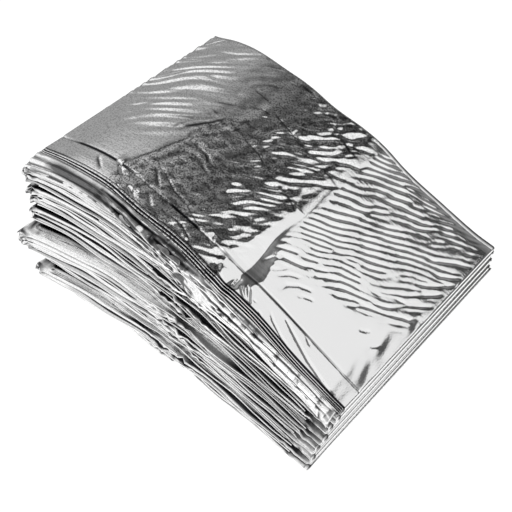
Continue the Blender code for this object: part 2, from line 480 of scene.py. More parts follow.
def film_object(name, rings, material, painted_shade, run=None, rubbed=None):
    """A closed skin of film over rings of points. The painted shade gives how dark each point is
    in a fold, rubbed how far it is rubbed satin, and run how far along the strip each ring lies."""
    rows, around = rings.shape[:2]
    index = np.arange(rows * around).reshape(rows, around)
    after = np.roll(index, -1, axis=1)
    faces = np.stack((index[:-1], after[:-1], after[1:], index[1:]), axis=-1)
    last = (rows - 1) * around
    caps = [list(range(around - 1, -1, -1)), list(range(last, last + around))]
    mesh = bpy.data.meshes.new(name)
    points = (rings.reshape(-1, 3) + PACK_TO_ROW).tolist()
    mesh.from_pydata(points, [], faces.reshape(-1, 4).tolist() + caps)
    if run is None:
        run = length_along(rings[:, around // 2])
    if rubbed is None:
        rubbed = np.full((rows, around), RUBBED)
    girth = length_along(rings[rows // 2])
    flat = np.stack(np.meshgrid(run, girth, indexing="ij"), axis=-1).reshape(-1, 2)
    corners = np.empty(len(mesh.loops), np.int32)
    mesh.loops.foreach_get("vertex_index", corners)
    mesh.uv_layers.new(name="film").data.foreach_set("uv", flat[corners].ravel())
    for layer, values in (("painted_shade", painted_shade), ("rubbed", rubbed)):
        values = values.astype(np.float32).ravel()
        mesh.attributes.new(layer, "FLOAT", "POINT").data.foreach_set("value", values)
    mesh.shade_smooth()
    mesh.materials.append(material)
    turned_out(mesh)
    return placed(name, mesh)


# ---- finishes ----------------------------------------------------------------------------

# The colour of the painted shade in the film's folds and grooves.
PAINTED_SHADE_COLOUR = (0.015, 0.015, 0.017, 1.0)
FILM_BRIGHTNESS = 0.93
SPECKLE = (0.36, 0.64, 0.25, 1.5)  # from these values of the grain, to these greys
ROUGHNESS = (0.3, 0.7, 0.07, 0.15)  # from these values of the cloud, to these
GRAIN = {"Scale": 1500.0, "Detail": 1.0, "Roughness": 0.6}
CLOUD = {"Scale": 55.0, "Detail": 2.0}
PULLED_CREASES = {"Scale": 1.0, "Detail": 2.0, "Roughness": 0.5}
CREASES_TO_A_METRE = (40.0, 900.0, 1.0)  # along the strip, across it
CREASE_BUMP = {"Strength": 0.5, "Distance": 0.06 * MM}
GRAIN_BUMP = {"Strength": 0.35, "Distance": 0.04 * MM}


def node(tree, kind, inputs=(), **settings):
    """A node with its settings. An input, by name or place, is a value or another's output."""
    made = tree.nodes.new(kind)
    for name, value in settings.items():
        setattr(made, name, value)
    for name, value in dict(inputs).items():
        if isinstance(value, bpy.types.NodeSocket):
            tree.links.new(value, made.inputs[name])
        else:
            made.inputs[name].default_value = value
    return made


def spread_over(tree, source, low, high, least, most):
    """A number that runs from least to most as its source runs from low to high."""
    limits = {"From Min": low, "From Max": high, "To Min": least, "To Max": most}
    return node(tree, "ShaderNodeMapRange", {"Value": source, **limits}).outputs["Result"]


def film_finish():
    """Bright metallised film: satin grain, fine pulled creases, and painted shade in its folds."""
    material = bpy.data.materials.new("metallised_film")
    material.use_nodes = True
    tree = material.node_tree
    place = node(tree, "ShaderNodeTexCoord").outputs["Object"]
    grain = node(tree, "ShaderNodeTexNoise", {"Vector": place, **GRAIN}).outputs["Fac"]
    cloud = node(tree, "ShaderNodeTexNoise", {"Vector": place, **CLOUD}).outputs["Fac"]
    # Colour: grain where the film is rubbed, then the painted shade of the folds.
    rubbed = node(tree, "ShaderNodeAttribute", attribute_name="rubbed").outputs["Fac"]
    speckle = spread_over(tree, grain, *SPECKLE)
    bright = node(tree, "ShaderNodeMix", {0: rubbed, 2: FILM_BRIGHTNESS, 3: speckle}).outputs[0]
    painted_shade = node(tree, "ShaderNodeAttribute", attribute_name="painted_shade").outputs["Fac"]
    colour = node(tree, "ShaderNodeMix", {0: painted_shade, 6: bright, 7: PAINTED_SHADE_COLOUR}, data_type="RGBA")
    # Bump: creases pulled along the strip, and the grain.
    film = node(tree, "ShaderNodeUVMap", uv_map="film").outputs["UV"]
    pulled = node(tree, "ShaderNodeMapping", {"Vector": film, "Scale": CREASES_TO_A_METRE})
    pulled = {"Vector": pulled.outputs["Vector"], **PULLED_CREASES}
    lines = node(tree, "ShaderNodeTexNoise", pulled).outputs["Fac"]
    creased = node(tree, "ShaderNodeBump", {"Height": lines, **CREASE_BUMP}).outputs["Normal"]
    grainy = node(tree, "ShaderNodeBump", {"Height": grain, "Normal": creased, **GRAIN_BUMP})
    shader = tree.nodes["Principled BSDF"]
    shader.inputs["Metallic"].default_value = 1.0
    tree.links.new(colour.outputs[2], shader.inputs["Base Color"])
    tree.links.new(spread_over(tree, cloud, *ROUGHNESS), shader.inputs["Roughness"])
    tree.links.new(grainy.outputs["Normal"], shader.inputs["Normal"])
    return material


# ---- the lower panels --------------------------------------------------------------------

STRIP_STATIONS = 78  # along each panel
STRIP_FRONT_LIPS = {"count": 2, "depth": 1.6 * MM, "wobble": 0.35 * MM}
STRIP_BACK_LIPS = {"count": 2, "depth": 1.2 * MM, "wobble": 0.3 * MM}
BACK_STAGGER_SHARE = 0.5  # of the front lips' reach
LIP_STAGGER = (60 * MM, 0.0, 1.4 * MM)  # the spacing of the changes, the least and the most reach
GROOVES_JOINED = 0.45
# Where across a panel its points lie, from the back to the front.
FLAT_SHARES = np.array((0.985, 0.95, 0.88, 0.72, 0.5, 0.3, 0.15, 0.1, 0.07, 0.045, 0.02))
# Where the front is crumpled, how far that spreads, its depth, all in mm, and the darkness
# of the painted shade in its folds.
CRUMPLED = ((-1, 6, 1.4, 1.0), (79, 13, 0.65, 0.85), (141, 6, 0.24, 1.0))
CRUMPLE_LIFT = 0.35  # how far crumples push up, for how far they push out
# Darkness of the painted shade: in the crumples' sharp folds, in the tips, and on open loop tops.
CRUMPLE_SHADE = 0.9
TIP_SHADE = 0.95
LOOP_TOP_SHADE = 0.7


def crumpled(name, x, y, z):
    """How far the front of the layers is pushed about where the pack is crumpled."""
    rough = creases(name, x, z * 1.3 + y * 0.6)
    return sum(depth * MM * rough * bell(x, at, spread) for at, spread, depth, _ in CRUMPLED)


def crumpled_fold_shade(x, y, z):
    """The painted shade in the sharp folds where the pack is crumpled."""
    rough = ease(0.25, 0.8, creases("dark folds of the front", x, z * 1.2 + y * 0.7))
    near = sum(dark * bell(x, at, spread) for at, spread, _, dark in CRUMPLED)
    return CRUMPLE_SHADE * rough * np.minimum(near, 1.0)


def tip_shade(x, y, z, share):
    """The painted shade in the crumpled tips of the film at the open end."""
    rough = ease(-0.2, 0.3, creases("tips", x + 0.4 * y, z * 1.3))
    return TIP_SHADE * rough * ease(8 * MM, 2 * MM, x) * ease(0.14, 0.05, share)


def strip_shade(x):
    """How far behind a lip's front the painted shade of its groove starts, and is full."""
    pressed = ease(60 * MM, 100 * MM, x) * ease(150 * MM, 141 * MM, x)
    corner = ease(134 * MM, 145 * MM, x)
    start, full = 0.3 - 0.1 * pressed + 0.25 * corner, 0.62 - 0.12 * pressed + 0.45 * corner
    return start * MM, full * MM


def shade_of_above(at, run, front):
    """Painted shade on the lower half of a panel's front, under the panel above, in places."""
    places = noise_line(np.random.default_rng(SEEDS["shade"]), run, 24 * MM, 0.0, 1.0)
    depth = (0.45 + 0.15 * ease(62 * MM, 90 * MM, at.x)) * ease(0.3, 0.6, places)
    depth = depth * ease(144 * MM, 130 * MM, at.x)
    return depth[:, None] * ease(0.2, -0.5, front[0] * at.turn_z[:, None])


def strip_painted_shade(at, run, points, share, front, back):
    """The painted shade at each point of the strip."""
    above = per_level(lambda level, x: front_edge(level + 1, x), at.lower, at.x)
    recess = above - per_level(front_edge, at.lower, at.x)
    # A loop whose next panel lies further back shows its top, with painted shade under the
    # panel above and in its crumples.
    step = (ease(2.5 * MM, 5 * MM, recess) * (at.lower % 2))[:, None]
    upper = points[:, : len(FLAT_SHARES)]
    behind = upper[:, :, 1] - above[:, None]
    covered = ease(-2.6 * MM, -0.4 * MM, behind) * ease(45 * MM, 25 * MM, at.x)[:, None]
    loop_shade = ease(-0.1, 0.9, creases("worn open loops", upper[:, :, 0], upper[:, :, 1]))
    loop_shade = LOOP_TOP_SHADE * loop_shade * ease(24 * MM, 4 * MM, upper[:, :, 0])
    # Painted shade in the lips' grooves, left off the upper lip of an open top, and under the panel
    # above.
    grooves = front[2] * (1 - step * ease(0.45, 0.75, front[0]))
    grooves = np.maximum(grooves, shade_of_above(at, run, front))
    clear = np.zeros(upper.shape[:2])
    painted_shade = np.hstack((step * np.maximum(covered, loop_shade), grooves, clear, back[2]))
    x, y, z = np.moveaxis(points[:, : len(share)], 2, 0)
    folds = np.maximum(crumpled_fold_shade(x, y, z), tip_shade(x, y, z, share))
    painted_shade[:, : len(share)] = np.maximum(painted_shade[:, : len(share)], folds)
    return painted_shade


def film_strip(material):
    """Every panel but the top one, with its loops and bends."""
    rng = np.random.default_rng(SEEDS["strip"])
    at = sections(list(range(TOP_LEVEL)), STRIP_STATIONS)
    run = run_of(at.x)
    # One line more than there are lips, because the draws after it depend on it.
    stagger = np.stack([noise_line(rng, run, *LIP_STAGGER) for _ in range(3)])
    shade = strip_shade(at.x)
    joined = GROOVES_JOINED * ease(72 * MM, 96 * MM, at.x)
    front = lips(rng, run, stagger, shade, joined=joined, **STRIP_FRONT_LIPS)
    back = turned_over(lips(rng, run, stagger * BACK_STAGGER_SHARE, shade, **STRIP_BACK_LIPS))
    points = strip_points(at, FLAT_SHARES, FLAT_SHARES[::-1], front, back)
    share = np.concatenate((FLAT_SHARES, np.zeros(front[0].shape[1]), FLAT_SHARES[::-1]))
    lip = points[:, : len(share)]
    push = crumpled("crumpled front", *np.moveaxis(lip, 2, 0))
    lip[:, :, 1] += push * ease(0.03, 0.0, share)
    lip[:, :, 2] += CRUMPLE_LIFT * push * ease(0.12, 0.03, share)
    points[:, :, 2] = np.maximum(points[:, :, 2], 0.0)
    painted_shade = strip_painted_shade(at, run, points, share, front, back)
    return film_object("film_strip", points, material, painted_shade, run)


# ---- the top panel -----------------------------------------------------------------------

TOP_STATIONS = 260
TOP_FRONT_LIPS = {"count": 4, "wobble": 0.15 * MM, "blunt": 0.3}
TOP_BACK_LIPS = {"count": 2, "depth": 0.8 * MM, "wobble": 0.15 * MM}
TOP_BACK_SHADE = (0.3 * MM, 0.8 * MM)
# The top panel's stepped edges: how far each stands out, how deep the grooves are, and how far
# behind the panel's front line they start, along the pack.
STEPS_OUT = (2.7, 1.9, 1.0, 0.0)
STEPS_DEPTH = 1.0 * MM
SET_BACK = (
    (0, 2.6), (20, 3.0), (50, 1.9), (70, 1.2), (95, 0.9), (120, 0.6), (145, -0.2), (150, -0.3),
)
STEPS_CLEARANCE = 1.3 * MM
DRAWN_SHARE = 0.075  # the share of the sheet's width that is moved back for them
# Where across it the top sheet's points lie. They are closer together at the long crease.
TOP_SHARES = np.concatenate([
    np.arange(0.012, 0.075, 0.0046),
    np.arange(0.075, 0.142, 0.0020),
    np.arange(0.142, 0.988, 0.0046),
])
RIM_UPPER_POINTS = 5  # of the back rim's points, those on its upper lip
# Darkness of the painted shade on the back rim, and on its upper lip on the pressed side.
RIM_SHADE = 0.3
UPPER_RIM_SHADE = 0.9
STEEP_ENOUGH = (0.34, 0.42)  # the falls at which film starts to stay bright, and stays so
STEEP_POLISH = 0.85  # how much less rubbed the film is where it is as steep as that
LEAST_RUN = 0.05 * MM
# The gain of the painted shade in the sharp creases.
CREASE_SHADE_GAIN = 1.3
# The painted shade of the fold beside a bright trough: its place from the trough, its
# trough's full depth, and the most it darkens.
BESIDE_X, BESIDE_Y, BESIDE_DEPTH, BESIDE_SHADE = 1.7 * MM, 0.3 * MM, 0.18 * MM, 0.8


def draw_back(points, set_back, shares):
    """Makes room for the stepped edges by moving the sheet's nearest points back."""
    width = PACK_WIDTH - FRONT[TOP_LEVEL]
    nearest = (set_back + STEPS_CLEARANCE) / width
    share = (DRAWN_SHARE - nearest) / (DRAWN_SHARE - shares.min())
    for i in np.flatnonzero(shares < DRAWN_SHARE):
        points[:, i, 1] += (DRAWN_SHARE - shares[i]) * (1 - share) * width


def film_top(material):
    """The top panel and the bend that it leaves the strip by."""
    rng = np.random.default_rng(SEEDS["top"])
    at = sections([TOP_LEVEL], TOP_STATIONS, from_bend=True)
    run = run_of(at.x)
    terrace = 1 - 0.3 * ease(90 * MM, 150 * MM, at.x)
    stagger = np.stack([out * MM * terrace for out in STEPS_OUT])
    set_back = listed(SET_BACK, at.x) * MM
    pressed = ease(78 * MM, 96 * MM, at.x)
    # How far behind each step's front the painted shade of its grooves starts, and is full.
    shade = ((0.15 - 0.13 * pressed) * MM, (0.42 - 0.2 * pressed) * MM)
    depth = STEPS_DEPTH + set_back
    front = lips(rng, run, stagger - set_back, shade, depth=depth, **TOP_FRONT_LIPS)
    back = turned_over(lips(rng, run, 0 * stagger, TOP_BACK_SHADE, **TOP_BACK_LIPS))
    points = strip_points(at, FLAT_SHARES, TOP_SHARES, front, back)
    under = slice(0, len(FLAT_SHARES))
    edge = slice(under.stop, under.stop + front[0].shape[1])
    sheet = slice(edge.stop, edge.stop + len(TOP_SHARES))
    draw_back(points[:, under], set_back, FLAT_SHARES)
    draw_back(points[:, sheet], set_back, TOP_SHARES)
    x, y = points[:, sheet, 0], points[:, sheet, 1]
    points[:, sheet, 2] += top_wrinkles(x, y)
    upper = points[:, under.stop :]
    upper[:, :, 2] += crease_puff(upper[:, :, 0], upper[:, :, 1])
    steep = steepness(points[:, sheet])
    # Painted shade: in the grooves of the stepped edges, on the sheet, and on the back rim.
    painted_shade = np.zeros(points.shape[:2])
    painted_shade[:, edge] = front[2]
    painted_shade[:, sheet] = top_painted_shade(x, y, steep)
    rim = painted_shade[:, sheet.stop :]
    rim[:] = back[2] * RIM_SHADE
    upper_rim = rim[:, :RIM_UPPER_POINTS]
    upper_rim_shade = UPPER_RIM_SHADE * ease(86 * MM, 94 * MM, at.x)
    upper_rim[:] = np.maximum(upper_rim, upper_rim_shade[:, None])
    rubbed = rubbed_share(points[:, :, 0], points[:, :, 1])
    rubbed[:, sheet] *= 1 - STEEP_POLISH * steep
    return film_object("film_top", points, material, painted_shade, run, rubbed)


def steepness(sheet):
    """1 where the top sheet falls so fast towards the pressed end that it stays bright."""
    run = np.gradient(sheet[:, :, 0], axis=0)
    fall = -np.gradient(sheet[:, :, 2], axis=0)
    return ease(*STEEP_ENOUGH, fall / np.where(np.abs(run) < LEAST_RUN, LEAST_RUN, run))


def top_painted_shade(x, y, steep):
    """The top sheet's painted shade: in its sharp creases and in the folds of the dull film."""
    creased = np.minimum(CREASE_SHADE_GAIN * trough_depth(SHADED_CREASES, x, y) / MM, 1.0)
    # Painted shade of a fold lies on the open side of each bright trough of the dull film.
    beside = trough_depth(MIDDLE_TROUGHS, x + BESIDE_X, y - BESIDE_Y) / BESIDE_DEPTH
    broken = ease(-0.5, 0.3, waves("breaks in the dark folds", x, y))
    dull = np.maximum(dull_film_shade(x, y), np.minimum(beside, BESIDE_SHADE) * broken) * (1 - steep)
    return np.maximum(np.maximum(creased, dull), long_crease_shade(x, y))


# Where the dull, crumpled film starts, across the pack.
DULL_FROM = (
    (33, 31.5), (43, 33.5), (54, 37), (62, 38.5), (70, 38), (82, 43), (96, 57), (105, 61),
    (121, 59),
)
# How dark the painted shade on it is: evenly, more so near the open end, in its small folds,
# and at most.
DULL_EVEN, DULL_EVEN_MORE, DULL_FOLDS, DULL_MOST = 0.06, 0.06, 0.6, 0.85
LEAST_GRAIN = 0.4  # how far the film short of the cross crease is rubbed where it is least


def dull_share(x, y):
    """1 where the film is crumpled dull: from a curved crease to the crease across the pack."""
    off = x - listed(DULL_FROM, y) * MM
    return ease(-1.0 * MM, 1.5 * MM, off) * ease(94 * MM, 88 * MM, x)


def dull_film_shade(x, y):
    """How far the dull film is darkened by painted shade, evenly and in its own small folds."""
    folds = ease(-0.2, 1.3, waves("small folds of the dull film", x, y))
    even = DULL_EVEN + DULL_EVEN_MORE * ease(64 * MM, 42 * MM, x)
    return dull_share(x, y) * np.minimum(even + DULL_FOLDS * folds, DULL_MOST)


# ---- the crease across the pack ----------------------------------------------------------

# At each place across the pack: how far the film rises to the crease and drops at it, and how
# far the drop spreads to the open and to the pressed end.
PUFF_COLUMNS = ("across", "rise", "drop", "open_side", "pressed_side")
PUFF = (
    (16, 1.4, 0.6, 3.0, 3.0),
    (24, 1.5, 0.9, 3.5, 3.5),
    (30, 1.5, 1.2, 6.5, 6.0),
    (36, 1.5, 1.5, 8.5, 7.5),
    (45, 1.5, 1.3, 6.0, 5.5),
    (52, 1.5, 0.8, 4.5, 4.0),
    (60, 1.4, 0.4, 3.8, 3.5),
    (69, 1.3, 0.35, 3.2, 3.0),
    (74, 1.2, 0.45, 24.0, 3.0),
    (90, 0.9, 0.3, 24.0, 3.2),
    (110, 0.6, 0.4, 24.0, 3.2),
    (122, 0.4, 0.2, 24.0, 2.5),
)
# The share of that rise, along the pack.
RISE = ((60, 0.0), (84, 0.35), (93, 1.0), (99, 1.05), (131, 0.0))
CROSS_CREASE = 93 * MM
CROSS_CREASE_BEND = 0.35 * MM
WIDE_DIP = 10 * MM  # from here on, a dip is too wide to end the rubbed film


def cross_crease(y):
    """The x of the crease across the pack."""
    return CROSS_CREASE + CROSS_CREASE_BEND * waves("bend of the cross crease", 0 * y, y)


def puff_sizes(y):
    """The sizes of the rise and the dip at the crease across the pack, at each y."""
    across, *sizes = (column(PUFF, PUFF_COLUMNS, name) for name in PUFF_COLUMNS)
    return [np.interp(y, across, size) for size in sizes]


def crease_puff(x, y):
    """The film rises a little to the crease across the pack, and dips where it lies."""
    rise, drop, open_side, pressed_side = puff_sizes(y)
    off = x - cross_crease(y)
    dip = np.maximum(0.0, 1 - np.abs(off) / np.where(off < 0, open_side, pressed_side))
    return rise * listed(RISE, x) - drop * dip


def rubbed_share(x, y):
    """Where the film is rubbed satin: short of the crease across the pack, and of its dip."""
    grainy = np.maximum(dull_share(x, y), ease(32 * MM, 60 * MM, x))
    grainy = LEAST_GRAIN + (1 - LEAST_GRAIN) * grainy
    dip = puff_sizes(y)[2]
    return grainy * ease(1.5 * MM, -1.5 * MM, x - cross_crease(y) + dip * (dip < WIDE_DIP))


# ---- the crease along the pack -----------------------------------------------------------

# Along the pack: the crease's y, and how dark the painted shade at its bottom is.
LONG_CREASE = (
    (0, 30.3), (10, 31.5), (18, 32.6), (28, 33.5), (36, 33.6), (66, 33.4), (89, 33.4), (103, 33.5),
    (125, 32.6), (140, 31.5), (150, 30.2),
)
LONG_CREASE_SHADE = (
    (0, 0.3), (4, 0.6), (9, 1.0), (28, 1.0), (28.6, 0.0), (30.5, 0.0), (31, 1.0), (37, 0.9),
    (39, 0.5), (56, 0.5), (58, 1.0), (71, 1.0), (72.5, 0.35), (83, 0.35), (85, 0.8), (90, 0.3),
    (94, 0.8), (110, 1.0), (121, 1.0), (130, 0.6), (140, 0.3), (150, 0.0),
)
PLEAT_HEIGHT = 0.5 * MM
GROOVE_DEPTH = 0.22 * MM
DIP_DEPTH = 0.18 * MM


def long_crease_off(x, y):
    """How many millimetres behind the crease along the pack a place lies."""
    at, line = np.array(LONG_CREASE, float).T * MM
    return (y - smooth(at, line, x)) / MM


def long_crease_shade(x, y):
    """The painted shade at the sharp bottom of the long crease."""
    width = 0.55 - 0.2 * ease(84 * MM, 98 * MM, x)
    bottom = np.exp(-((long_crease_off(x, y) / width) ** 2))
    return listed(LONG_CREASE_SHADE, x) * np.minimum(1.7 * bottom, 1.0)


def long_crease_step(x, y):
    """The long crease's height: a sharp groove, a raised pleat behind it and a dip in front."""
    off = long_crease_off(x, y)
    raised = ease(24 * MM, 30 * MM, x) * ease(92 * MM, 84 * MM, x)
    raised = raised * (1 - listed(LONG_CREASE_SHADE, x))
    pleat = PLEAT_HEIGHT * raised * ease(0, 0.6, off) * ease(5, 0.6, off)
    groove = GROOVE_DEPTH * np.exp(-np.abs(off) / 0.35)
    return pleat - groove - DIP_DEPTH * ease(0.6, -0.5, off) * ease(-9, -1, off)


# ---- the top sheet's troughs and creases -------------------------------------------------

# Troughs in the top sheet: half width, depth, and a line of x, y places.
LEFT_TROUGHS = (
    (0.91, 0.12, (5, 107, 12, 110, 20, 113, 27, 118)),
    (0.91, 0.13, (8, 99, 17, 103, 24, 108, 29, 112.5)),
    (1, 0.12, (14, 91, 18, 94, 24, 96.5)),
    (0.8, 0.15, (25, 96.5, 32, 102, 40, 109, 44, 111.5)),
    (0.91, 0.12, (5, 72, 12, 77, 20, 83, 28, 87.5, 34, 91.5, 40, 96)),
    (0.91, 0.14, (3, 58, 9, 62, 14, 68, 20, 74, 26, 78.5, 31, 82)),
    (1.3, 0.12, (22, 52, 27, 58, 31, 62)),
    (0.8, 0.15, (30.5, 59, 34, 69, 37, 73, 41, 79, 42, 82)),
    (0.75, 0.17, (42, 82, 47, 87, 51, 91, 58, 96.5)),
    (1.3, 0.17, (31.5, 34, 33, 42, 35.5, 48, 37.5, 56, 38.5, 60)),
    (0.98, 0.12, (38.5, 61, 40, 64.5, 44, 67, 49, 70)),
    (1.1, 0.16, (40, 103, 44, 106, 50, 109)),
    (1, 0.13, (30, 96, 38, 100.5, 42, 104)),
    (0.84, 0.07, (6, 84, 12, 89, 20, 92.5)),
    (0.9, 0.16, (31, 83, 36, 86.5, 40, 89)),
    (0.9, 0.14, (36, 77, 40, 79)),
    (1, 0.08, (2, 112, 10, 116, 18, 119)),
    (0.84, 0.07, (20, 101, 27, 106, 32, 112, 36, 115)),
    (0.84, 0.08, (42, 112, 46, 115.5, 48, 120)),
    (1.1, 0.08, (45, 105, 52, 108, 58, 111, 61, 117)),
    (0.9, 0.24, (41, 43, 44, 46, 47, 48)),
    (0.7, 0.16, (41.5, 43, 50, 40.3, 54, 38.5, 61, 38)),
    (0.7, 0.16, (42, 42, 45, 39, 49, 35.5)),
    (0.8, 0.12, (43, 55, 47, 57.5, 51, 57, 57, 54)),
    (0.8, 0.14, (41, 48, 44, 51.5, 48, 51.5)),
    (0.8, 0.16, (45, 61, 50, 61, 54, 59.5)),
    (0.6, 0.10, (54, 98, 57, 97, 62, 96, 66, 95, 70, 94.5)),
    (0.6, 0.10, (57, 77.7, 63, 77, 68, 75)),
    (0.7, 0.14, (46, 93, 49, 95, 54, 96)),
    (0.9, 0.10, (8, 55, 12, 57.5)),
    (1, 0.08, (12, 49, 16, 55)),
)
MIDDLE_TROUGHS = (
    (1.5, 0.30, (63.5, 115, 67, 118)),
    (1.6, 0.30, (67.5, 114.5, 73.5, 116.5)),
    (1.5, 0.32, (74, 111.5, 79, 113.5)),
    (1.7, 0.36, (79, 110.5, 83, 113, 86, 118.5)),
    (0.9, 0.26, (66, 101, 70, 104, 73, 106.5)),
    (0.9, 0.28, (70, 96, 75, 103, 79, 107, 82.5, 109)),
    (0.9, 0.28, (72.5, 93.5, 77, 98, 81, 101.5)),
    (1.0, 0.30, (76, 91.5, 79, 95, 84, 101)),
    (0.9, 0.26, (81, 92, 85, 98, 90, 102, 94, 104, 95, 108)),
    (0.8, 0.20, (60, 82, 66, 87, 71, 91)),
    (0.8, 0.20, (66, 80, 71, 85, 78, 89)),
    (0.9, 0.26, (77, 73.5, 81, 77, 86, 82, 90, 86, 94, 90)),
    (0.8, 0.20, (61, 60, 66, 64, 73, 68, 80, 70)),
    (0.8, 0.22, (68, 55, 72, 58.5, 77, 61)),
    (1.1, 0.30, (71, 49.5, 74, 52, 76.5, 56)),
    (0.9, 0.24, (75, 48, 78, 50, 82, 52)),
    (0.8, 0.24, (66.2, 94.5, 66.5, 98.5)),
    (0.9, 0.26, (80.5, 70, 82, 73.5)),
    (0.8, 0.22, (71.8, 74, 73.5, 77)),
    (0.8, 0.25, (76.5, 36.5, 79, 32)),
    (0.8, 0.20, (61, 53, 65, 57, 70, 60)),
    (0.8, 0.20, (86, 91, 90, 93, 94, 95)),
    (0.8, 0.20, (84, 108.5, 89, 112, 94, 114.5)),
)
RIGHT_TROUGHS = (
    (0.75, 0.16, (95.5, 42.5, 97, 46, 100, 49, 105, 51.5, 109, 53.5)),
    (0.65, 0.13, (99.5, 41.5, 101, 43.5, 103, 46.5)),
    (0.65, 0.14, (101.8, 40.8, 105, 45.5, 109, 48.5)),
    (0.65, 0.15, (106.5, 38, 107, 41.5, 110, 45, 115, 47.8)),
    (0.60, 0.11, (112.2, 41.2, 114, 43.3, 117.5, 45.2)),
    (0.60, 0.11, (114.8, 54.5, 118.5, 58.5)),
    (0.65, 0.14, (118.5, 54.3, 121, 57, 123, 59.5)),
    (0.65, 0.14, (120.7, 52.6, 123.5, 55, 126, 57)),
    (0.65, 0.15, (126, 52.8, 129, 57, 132, 59.5, 135.5, 61.5)),
    (0.60, 0.11, (135, 49.3, 138, 52)),
    (0.55, 0.09, (141.6, 47, 144, 50)),
    (0.65, 0.15, (132.5, 62.5, 137, 66, 141, 71.5, 148, 78)),
    (0.60, 0.13, (139.5, 63.7, 143, 66.2, 147, 67.5)),
    (0.60, 0.14, (128, 65, 132, 67, 137, 71, 140, 72)),
    (0.70, 0.16, (138.5, 82.5, 143, 86.5, 149, 93)),
    (0.65, 0.15, (142, 79, 144, 81.5, 147.5, 85.5)),
    (0.65, 0.15, (141, 90, 144, 94, 149, 97.5)),
    (0.70, 0.17, (134, 93, 139, 98.5, 143, 102, 148.5, 105)),
)
FRONT_TROUGHS = (
    (0.50, 0.22, (115.5, 31.2, 122, 28.7, 130, 25.6, 140, 23, 149, 20.6)),
    (0.45, 0.12, (109.5, 29.3, 113, 27, 118, 25, 123, 23.4)),
    (0.40, 0.10, (107, 26, 109, 24.8)),
    (0.40, 0.10, (103, 27.8, 104.5, 27.6)),
    (0.70, 0.30, (94.5, 31, 95.3, 25)),
    (0.60, 0.26, (96.5, 28.6, 99, 26.6, 102.5, 24.4)),
    (0.60, 0.26, (98.6, 30.5, 101, 27.4, 103.3, 24.8)),
    (0.45, 0.12, (124.5, 32, 127, 30.5)),
    (0.80, 0.55, (30.5, 33, 35.5, 29.8)),
    (1.00, 0.70, (41, 28, 44, 27, 46, 24.8)),
    (0.80, 0.60, (37.5, 25.5, 40, 24)),
    (0.60, 0.14, (21.5, 30, 26, 26.5)),
    (0.60, 0.16, (61, 29.8, 66, 30, 73, 27)),
    (0.60, 0.16, (62, 28, 69, 26.5, 72, 24.5)),
    (0.60, 0.16, (86, 28, 88, 26, 91, 24.5)),
    (0.60, 0.12, (48, 31, 53, 27)),
)

# Sharp creases in the top sheet with painted shade: half width, darkness, and a line of x, y
# places.
SHADED_CREASES = (
    (0.9, 0.80, (33, 62, 35, 66, 37.5, 70, 40, 74, 42.5, 79, 43, 82)),
    (0.5, 0.80, (31.5, 34, 32, 38, 33.5, 43, 35.5, 48, 37, 54, 38.5, 59, 39.5, 62, 38, 64.5)),
    (0.5, 0.70, (34, 34.5, 34.5, 38)),
    (0.4, 0.75, (41, 43, 46, 42, 50, 40.3, 54, 38.5, 61, 38)),
    (0.4, 0.60, (42, 41, 45, 38.5, 49, 35.5)),
    (0.4, 0.65, (60, 38.5, 65, 36, 71, 34.3)),
    (0.6, 0.65, (45, 61, 50, 60.5, 53, 58.5, 59, 58.5)),
    (0.5, 0.65, (41, 49, 41.5, 51.5, 43, 52.2, 47, 51.5, 49, 50.5)),
    (0.5, 0.55, (43, 55.5, 48, 57, 52, 55, 58, 54)),
    (0.35, 0.75, (54, 98, 57, 97, 62, 96, 66, 95, 70, 94.5)),
    (0.35, 0.70, (52, 79.5, 57, 77.5, 63, 77, 68, 74.5)),
    (0.5, 0.65, (34, 84, 38, 86.5, 41, 88.5)),
    (0.5, 0.55, (36, 80, 39, 79.5)),
    (0.5, 0.65, (46, 93, 49, 95, 54, 96)),
    (0.4, 0.55, (40, 101, 44, 101, 49, 101)),
    (0.7, 0.50, (35, 116, 38, 118, 40, 119.5)),
    (0.8, 0.50, (38, 103, 43, 108, 47, 110)),
    (0.8, 0.60, (50, 119, 56, 118.5, 60, 118)),
    (0.6, 0.50, (57, 108, 59, 111, 61, 113)),
    (0.6, 0.50, (42.5, 82, 47, 81)),
    (0.4, 0.75, (82, 108.5, 86, 107.2, 91, 106.5)),
    (0.5, 0.70, (85, 91, 89, 90.5, 93, 89.5)),
    (0.5, 0.70, (79, 69, 84, 70, 88, 68.5, 90, 67)),
    (0.6, 0.65, (20, 31, 22, 29, 26, 26.5)),
    (0.5, 0.65, (61, 29.5, 66, 29.8, 73, 27)),
)

TROUGHS = ((LEFT_TROUGHS, 1.35), (MIDDLE_TROUGHS, 1.1), (RIGHT_TROUGHS, 1.8), (FRONT_TROUGHS, 1.5))


